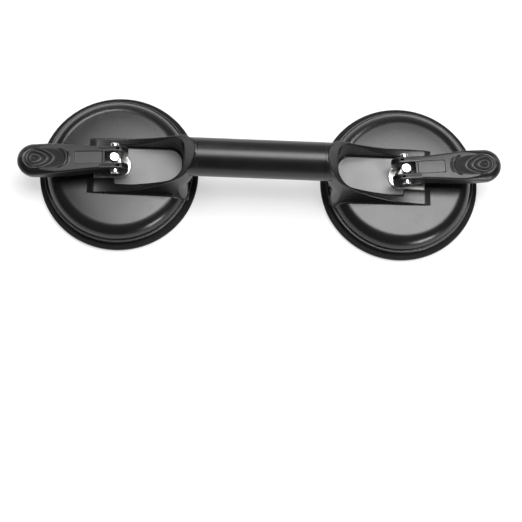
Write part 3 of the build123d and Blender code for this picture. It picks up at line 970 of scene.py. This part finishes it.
def lever_shell():
    """Shank and thumb end as a grid: at each station along the lever a closed section with a
    crowned top, rounded edges, skirts and a hollow below. The rim grows softer and deeper
    towards the thumb's tip."""
    thumb_x = -LEVER_LENGTH + THUMB_RADIUS
    turn = np.linspace(0, math.pi / 2, 36)
    end = thumb_x - (THUMB_RADIUS - 0.02) * np.sin(turn)
    body = np.linspace(-FORK_GAP_LENGTH, thumb_x, 150)[:-1]
    x = np.concatenate([body, end])[:, None]
    half = lever_half_width(x)
    to_tip = np.clip((-x - SHANK_LENGTH) / (LEVER_LENGTH - SHANK_LENGTH), 0, 1)
    skirt = SHANK_DEPTH + (THUMB_DEPTH - SHANK_DEPTH) * to_tip
    thumb = smooth_step(*SOFT_RIM, x)
    edge = LEVER_EDGE + THUMB_EDGE_MORE * thumb
    fall = LEVER_EDGE + THUMB_FALL_MORE * thumb
    bulge = 2 - 0.5 * thumb

    def drop(y):
        """Fall of the rounded edge: a rounded chamfer over the distance to the outline."""
        inward = np.where(x < thumb_x, THUMB_RADIUS - np.hypot(x - thumb_x, y), half - np.abs(y))
        share = 1 - np.clip(inward / edge, 0, 1)
        return fall * (1 - (1 - share ** bulge) ** (1 / bulge))

    top = lever_top(x)
    across = np.linspace(-1, 1, 75)[None]
    strip = np.minimum(edge, 0.6 * half)
    flat = half - strip
    top_y = across * flat
    sunk = (grip_relief(x, top_y) + panel_relief(x, top_y)) * np.clip((half - 1) / 3, 0, 1)
    top_z = top - LEVER_CROWN * across ** 2 - sunk - drop(top_y)
    quarter = np.linspace(0, math.pi / 2, 11)[None, 1:]
    side_z = top - LEVER_CROWN
    right_y = flat + strip * np.sin(quarter) ** (2 / bulge)
    right_z = side_z - drop(right_y)
    down = np.linspace(0, 1, 8)[None, 1:]
    bottom = top - skirt
    wall_y = half + 0 * down
    wall_z = (side_z - fall) + (bottom - side_z + fall) * down
    wall = np.minimum(LEVER_WALL, 0.6 * half)
    inner = half - wall
    inside_y = np.concatenate([half - 0.4 * wall, inner, inner, 0.9 * inner], axis=1)
    roof = top - LEVER_ROOF - ROOF_SAG * (1 - np.clip(half / THUMB_RADIUS, 0, 1)) - drop(0)
    roof_edge = np.maximum(roof - 0.8, bottom + 0.35)
    roof_middle = np.maximum(roof, bottom + 0.4)
    inside_z = np.concatenate([bottom - 0.05, bottom + 0.3, roof_edge, roof_middle], axis=1)
    half_y = np.concatenate([right_y, wall_y, inside_y], axis=1)
    half_z = np.concatenate([right_z, wall_z, inside_z], axis=1)
    section_y = np.concatenate([top_y, half_y, -half_y[:, ::-1]], axis=1)
    section_z = np.concatenate([top_z, half_z, half_z[:, ::-1]], axis=1)
    return joined(x, section_y, section_z)


def grip_mark(shell):
    """Mark of each point of the shell: 1 between the ridges of the thumb dish, where the
    lever's colour takes painted shade and its roughness is matt, -1 on the panel's floor, else 0."""
    x, y, z = shell[..., 0], shell[..., 1], shell[..., 2]
    above = z > PIN_HEIGHT + FORK_ABOVE_PIN - MARK_DEPTH - THUMB_DROP
    inside = 1 - smooth_step(*MATT_AND_SHADED_RIM, grip_oval(x, y))
    # The dish's mark darkens the colour as painted shade and falls away on the ridges
    dish = inside * (1 - RUBBED_AND_UNSHADED_SHARE * smooth_step(*RUBBED_AND_UNSHADED_RIDGE, grip_ridges(x, y)))
    return above * (dish - panel_relief(x, y) / PANEL_DEPTH)


def outline_normals(outline):
    """Outward unit normals of a closed outline that runs against the clock."""
    ahead = np.roll(outline, -1, axis=0) - np.roll(outline, 1, axis=0)
    length = np.linalg.norm(ahead, axis=1, keepdims=True)
    return joined(ahead[:, 1], -ahead[:, 0]) / np.maximum(length, 1e-9)


def slab(outline, low, high, rounding):
    """A slab with rounded edges: the outline in x and z, drawn in along its normals by the
    edge's quarter circle at each face, and carried across from low to high in y."""
    ahead = np.roll(outline, -1, axis=0)
    if np.sum(outline[:, 0] * ahead[:, 1] - outline[:, 1] * ahead[:, 0]) < 0:
        outline = outline[::-1]
    normals = outline_normals(outline)
    turn = np.linspace(0, math.pi / 2, 5)
    inset = np.concatenate([rounding * (1 - np.sin(turn)), rounding * (1 - np.cos(turn))])
    across = np.concatenate([
        low + rounding * (1 - np.cos(turn)),
        high - rounding * (1 - np.sin(turn)),
    ])
    flat = outline[None] - normals[None] * inset[:, None, None]
    return joined(flat[..., 0], across[:, None], flat[..., 1])


def arc_through(start, middle, end, steps):
    """Points of the circle's arc from start through middle to end, in a plane."""
    rows = 2 * np.array([middle - start, end - start])
    centre = np.linalg.solve(rows, [middle @ middle - start @ start, end @ end - start @ start])
    angles = [math.atan2(p[1] - centre[1], p[0] - centre[0]) for p in (start, middle, end)]
    sweep = (angles[2] - angles[0]) % (2 * math.pi)
    if (angles[1] - angles[0]) % (2 * math.pi) > sweep:
        sweep -= 2 * math.pi
    turn = angles[0] + sweep * np.linspace(0, 1, steps)
    return centre + np.linalg.norm(start - centre) * joined(np.cos(turn), np.sin(turn))


def ear_outline(foot):
    """Side view of one arm of the fork: crown, nose, and either the foot with its cam or, for
    the wider arm above it, a straight lower edge that clears the slot's walls."""
    nose = cam_point(np.array(math.pi / 2))
    crown_x = nose[0] - NOSE_ROUNDING
    back = -FORK_GAP_LENGTH - ARM_OVERLAP
    top_x = np.linspace(back, crown_x, 12)
    top = joined(top_x, lever_top(top_x))
    bulge = np.array([nose[0] - 0.5, (nose[1] + PIN_HEIGHT + FORK_ABOVE_PIN) / 2 + 0.8])
    round_nose = arc_through(top[-1], bulge, nose, 16)[1:-1]
    under = PIN_HEIGHT + FORK_ABOVE_PIN - SHANK_DEPTH
    if foot:
        cam = cam_point(np.linspace(math.pi / 2, 0, 40))
        sole = cam[-1][1]
        rest = [
            (-SOLE_LENGTH + 0.6, sole),
            (-SOLE_LENGTH, sole + 0.6),
            (-SOLE_LENGTH - FOOT_HEIGHT, under),
        ]
    else:
        cam = cam_point(np.linspace(math.pi / 2, ARM_CAM_ANGLE, 20))
        level = PLATE_TOP + FOOT_HEIGHT
        rest = [(1.0, level), (-SOLE_LENGTH - 2, level), (-SOLE_LENGTH - 4, under)]
    lower = np.concatenate([cam, np.array([*rest, (back, under)])])
    return finer(np.concatenate([top, round_nose, lower]), 1.2)


def flip_lever(side):
    """Flip lever: ridged thumb end and hollow shank, and a fork with two cam feet."""
    yaw = yaw_of(side)
    shell = lever_shell()
    patches = [(shell, False, True, 0, grip_mark(shell))]
    arms = [
        (True, FORK_GAP, FOOT_HALF_WIDTH, FOOT_ROUNDING),
        (False, FORK_GAP + ARM_INSET, FORK_HALF_WIDTH, ARM_ROUNDING),
    ]
    for facing in (-1, 1):
        for foot, inner, outer, rounding in arms:
            low, high = sorted((facing * inner, facing * outer))
            patches.append((slab(ear_outline(foot), low, high, rounding), False, True, 0))
    placed = [(place(grid, side, yaw), *rest) for grid, *rest in patches]
    piece = new_piece(f"flip_lever_{side}", placed, [lever_paint], 35)
    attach(piece, f"lever_{side}")
    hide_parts(f"lever_{side}")


class LIFTER_OT_heads(bpy.types.Operator):
    """Build both cast heads with pocket, cheeks, collar and beaded dish"""

    bl_idname = "lifter.heads"
    bl_label = "Cast heads"

    def execute(self, context):
        for side in SIDES:
            head_casting(side)
        return {"FINISHED"}


class LIFTER_OT_pads(bpy.types.Operator):
    """Build both rubber pads: a lip that stays on the head and an arch that bends"""

    bl_idname = "lifter.pads"
    bl_label = "Rubber pads"

    def execute(self, context):
        for side in SIDES:
            pad_lip(side)
            pad_skin(side, "pad_arch_below", 0.0, PAD_MIDDLE_HEIGHT, 0.0, True)
            pad_skin(side, "pad_arch_above", LIP_THICKNESS, PAD_MIDDLE_TOP, STUD_HEAD_RADIUS, False)
        return {"FINISHED"}


class LIFTER_OT_levers(bpy.types.Operator):
    """Build both flip levers with fork, cam feet and ridged thumb end"""

    bl_idname = "lifter.levers"
    bl_label = "Flip levers"

    def execute(self, context):
        for side in SIDES:
            flip_lever(side)
        return {"FINISHED"}


class LIFTER_OT_metalwork(bpy.types.Operator):
    """Give the tube, studs, pins, plates, springs, bushes and screws their finish"""

    bl_idname = "lifter.metalwork"
    bl_label = "Tube and metalwork"

    def execute(self, context):
        makers = {
            "handle_tube": tube_coat,
            "wear_plate": ground_plate,
            "draw_stud": bright_chrome,
            "lever_pin": bright_chrome,
            "pin_cap": bright_chrome,
            "insert_plate": zinc_plate,
            "tube_screw": zinc_plate,
            "return_spring": spring_wire,
            "stud_bush": acetal,
        }
        for name, maker in makers.items():
            for node_name, piece in frame["nodes"].items():
                if node_name in (name, f"{name}_left", f"{name}_right"):
                    piece.data.materials.clear()
                    piece.data.materials.append(material(maker))
        return {"FINISHED"}


FLOOR_GLOW = 0.5
FILL_LIGHT = 0.06

# Lamps: name, place, target and size in metres, watts, and the share of its size that fades
LAMPS = (
    ("overhead_softbox", (0.3, 0.28, 1.5), (0.3, 0.28, 0), (1.6, 1.0), 50, 0.25),
    ("front_lamp", (0.86, -1.1, 0.36), (0, 0, 0), (0.6, 0.3), 11, 0.2),
    ("left_lamp", (-0.6, 1.0, 1.1), (0, 0, 0), (0.9, 0.3), 10, 0.15),
    ("back_wall", (0.0, 2.2, 0.7), (0, 0, 0.2), (3.0, 1.2), 4, 0.1),
)


def area_light(name, place_m, target_m, size_m, watts, fade):
    """A rectangular soft light at a place, turned to its target. Its glow falls off towards
    its four edges over that share of its size, as a lamp behind a diffuser does."""
    data = bpy.data.lights.new(name, "AREA")
    data.shape = "RECTANGLE"
    data.size, data.size_y = size_m
    data.energy = watts
    data.use_nodes = True
    where = node(data, "ShaderNodeNewGeometry").outputs["Parametric"]
    across = node(data, "ShaderNodeSeparateXYZ", [("Vector", where)])
    ramps = []
    for axis in ("X", "Y"):
        inward = node(
            data, "ShaderNodeMath", [(0, across.outputs[axis]), (1, 0.5)], operation="PINGPONG",
        )
        ramp = node(
            data, "ShaderNodeMapRange", [("Value", inward.outputs[0])],
            interpolation_type="SMOOTHSTEP", From_Max=fade,
        )
        ramps.append(ramp.outputs["Result"])
    glow = node(data, "ShaderNodeMath", enumerate(ramps), operation="MULTIPLY")
    emission = data.node_tree.nodes["Emission"]
    data.node_tree.links.new(glow.outputs[0], emission.inputs["Strength"])
    lamp = bpy.data.objects.new(name, data)
    bpy.context.scene.collection.objects.link(lamp)
    lamp.location = place_m
    facing = Vector(target_m) - Vector(place_m)
    lamp.rotation_euler = facing.to_track_quat("-Z", "Y").to_euler()


def floor_material():
    """Plain matt pale floor. Seen straight or in a reflection it glows enough to reach white
    where nothing shades it, and the object's own shadow stays on it."""
    made = bpy.data.materials.new("matt_white_studio_floor")
    made.use_nodes = True
    made.node_tree.nodes.clear()
    rays = node(made, "ShaderNodeLightPath").outputs
    seen = node(
        made, "ShaderNodeMath", [(0, rays["Is Camera Ray"]), (1, rays["Is Glossy Ray"])],
        operation="MAXIMUM",
    )
    glow = node(
        made, "ShaderNodeMath", [(0, seen.outputs[0]), (1, FLOOR_GLOW)], operation="MULTIPLY",
    )
    matt = node(made, "ShaderNodeBsdfDiffuse", Color=linear("#c0c0c0"))
    light = node(
        made, "ShaderNodeEmission", [("Strength", glow.outputs[0])], Color=linear("#ffffff"),
    )
    both = node(made, "ShaderNodeAddShader", [(0, matt.outputs[0]), (1, light.outputs[0])])
    node(made, "ShaderNodeOutputMaterial", [("Surface", both.outputs[0])])
    return made


def world():
    """Pale studio surroundings: white to the camera, and a dimmer even fill for the object."""
    made = bpy.data.worlds.new("studio")
    bpy.context.scene.world = made
    made.use_nodes = True
    made.node_tree.nodes.clear()
    rays = node(made, "ShaderNodeLightPath")
    fill = node(made, "ShaderNodeBackground", Color=linear("#ffffff"), Strength=FILL_LIGHT)
    white = node(made, "ShaderNodeBackground", Color=linear("#ffffff"), Strength=1.0)
    mix = node(
        made, "ShaderNodeMixShader",
        [("Fac", rays.outputs["Is Camera Ray"]), (1, fill.outputs[0]), (2, white.outputs[0])],
    )
    node(made, "ShaderNodeOutputWorld", [("Surface", mix.outputs[0])])


def camera():
    """The photograph's camera, which looks down on the lifter from a little in front. Its
    numbers come from a fit to the photograph's pads, rims, studs and pins: the lens in
    millimetres, the point it aims at and the distance in metres, and angles in radians."""
    data = bpy.data.cameras.new("camera")
    data.sensor_width = 36.0
    data.lens = 74.943
    data.clip_start = 0.01
    eye = bpy.data.objects.new("camera", data)
    bpy.context.scene.collection.objects.link(eye)
    target, distance = Vector((0.0033837, -0.066619, 0.0)), 0.85
    elevation, azimuth, roll = 1.3300045, -0.0959214, 0.1294865
    back = Vector((
        math.sin(azimuth) * math.cos(elevation),
        -math.cos(azimuth) * math.cos(elevation),
        math.sin(elevation),
    ))
    right = Vector((math.cos(azimuth), math.sin(azimuth), 0.0))
    up = back.cross(right)
    rolled_right = math.cos(roll) * right + math.sin(roll) * up
    rolled_up = math.cos(roll) * up - math.sin(roll) * right
    turn = Matrix((rolled_right, rolled_up, back)).transposed()
    eye.matrix_world = Matrix.Translation(target + distance * back) @ turn.to_4x4()
    bpy.context.scene.camera = eye


class LIFTER_OT_stage(bpy.types.Operator):
    """Add the floor, the surroundings, the soft lights and the camera"""

    bl_idname = "lifter.stage"
    bl_label = "Stage"

    def execute(self, context):
        half = 3.0
        mesh = bpy.data.meshes.new("studio_floor")
        corners = [(-half, -half, 0), (half, -half, 0), (half, half, 0), (-half, half, 0)]
        mesh.from_pydata(corners, [], [(0, 1, 2, 3)])
        mesh.materials.append(floor_material())
        floor = bpy.data.objects.new("studio_floor", mesh)
        context.scene.collection.objects.link(floor)
        world()
        camera()
        for lamp in LAMPS:
            area_light(*lamp)
        context.scene.view_settings.view_transform = "Standard"
        return {"FINISHED"}


class LIFTER_PT_panel(bpy.types.Panel):
    """Sidebar panel with one button for each group of pieces"""

    bl_label = "Suction lifter"
    bl_idname = "LIFTER_PT_panel"
    bl_space_type = "VIEW_3D"
    bl_region_type = "UI"
    bl_category = "Lifter"

    def draw(self, context):
        for name in LifterSettings.__annotations__:
            self.layout.prop(context.scene.lifter, name)
        for operator in OPERATORS:
            self.layout.operator(operator.bl_idname)


OPERATORS = (
    LIFTER_OT_heads, LIFTER_OT_pads, LIFTER_OT_levers, LIFTER_OT_metalwork, LIFTER_OT_stage,
)
CLASSES = (LifterSettings, *OPERATORS, LIFTER_PT_panel)


def register():
    for each in CLASSES:
        bpy.utils.register_class(each)
    bpy.types.Scene.lifter = PointerProperty(type=LifterSettings)


def unregister():
    del bpy.types.Scene.lifter
    for each in reversed(CLASSES):
        bpy.utils.unregister_class(each)


def main():
    """Registers the add-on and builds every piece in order."""
    register()
    bpy.ops.lifter.stage()
    bpy.ops.lifter.heads()
    bpy.ops.lifter.pads()
    bpy.ops.lifter.levers()
    bpy.ops.lifter.metalwork()


if __name__ == "__main__":
    main()
